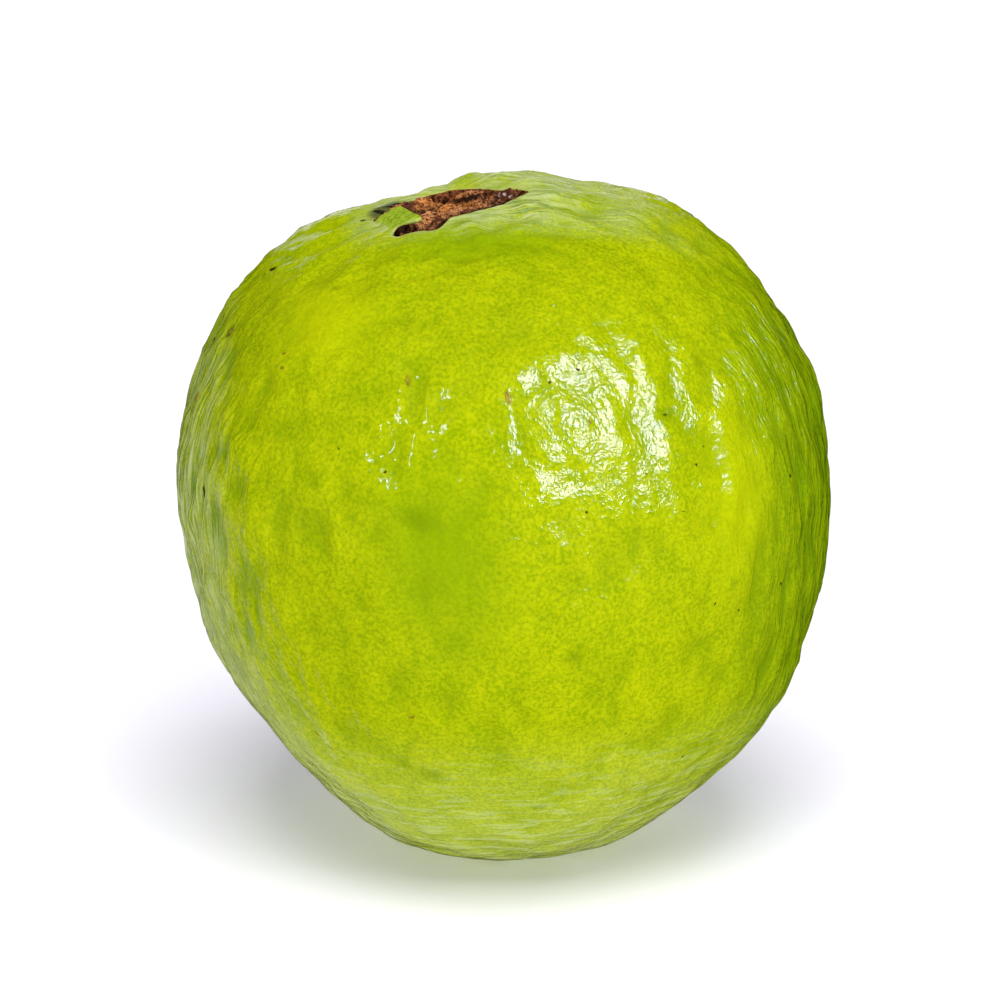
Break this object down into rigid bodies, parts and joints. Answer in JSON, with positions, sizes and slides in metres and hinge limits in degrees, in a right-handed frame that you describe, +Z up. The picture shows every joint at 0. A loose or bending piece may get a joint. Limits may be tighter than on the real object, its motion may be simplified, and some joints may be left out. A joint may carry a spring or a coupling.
{
  "type": "whole guava",
  "caption": "Whole round guava fruit with a torn calyx crown holding dried flower remains, standing on its slightly flattened stem end.",
  "frame": {"origin": "on the ground under the middle of the fruit's bounding box", "axes": "+Z up, from the stem end that the fruit stands on towards the calyx; -Y the front"},
  "size_m": [0.0798, 0.0796, 0.0844],
  "materials": {
    "guava_skin": "waxy, mottled yellow-green fruit skin with small brown specks",
    "dried_flower": "dry, crumbly, corky brown plant tissue"
  },
  "bodies": {
    "root": {"fruit": "guava_skin", "dried_flower": "dried_flower"}
  },
  "joints": []
}
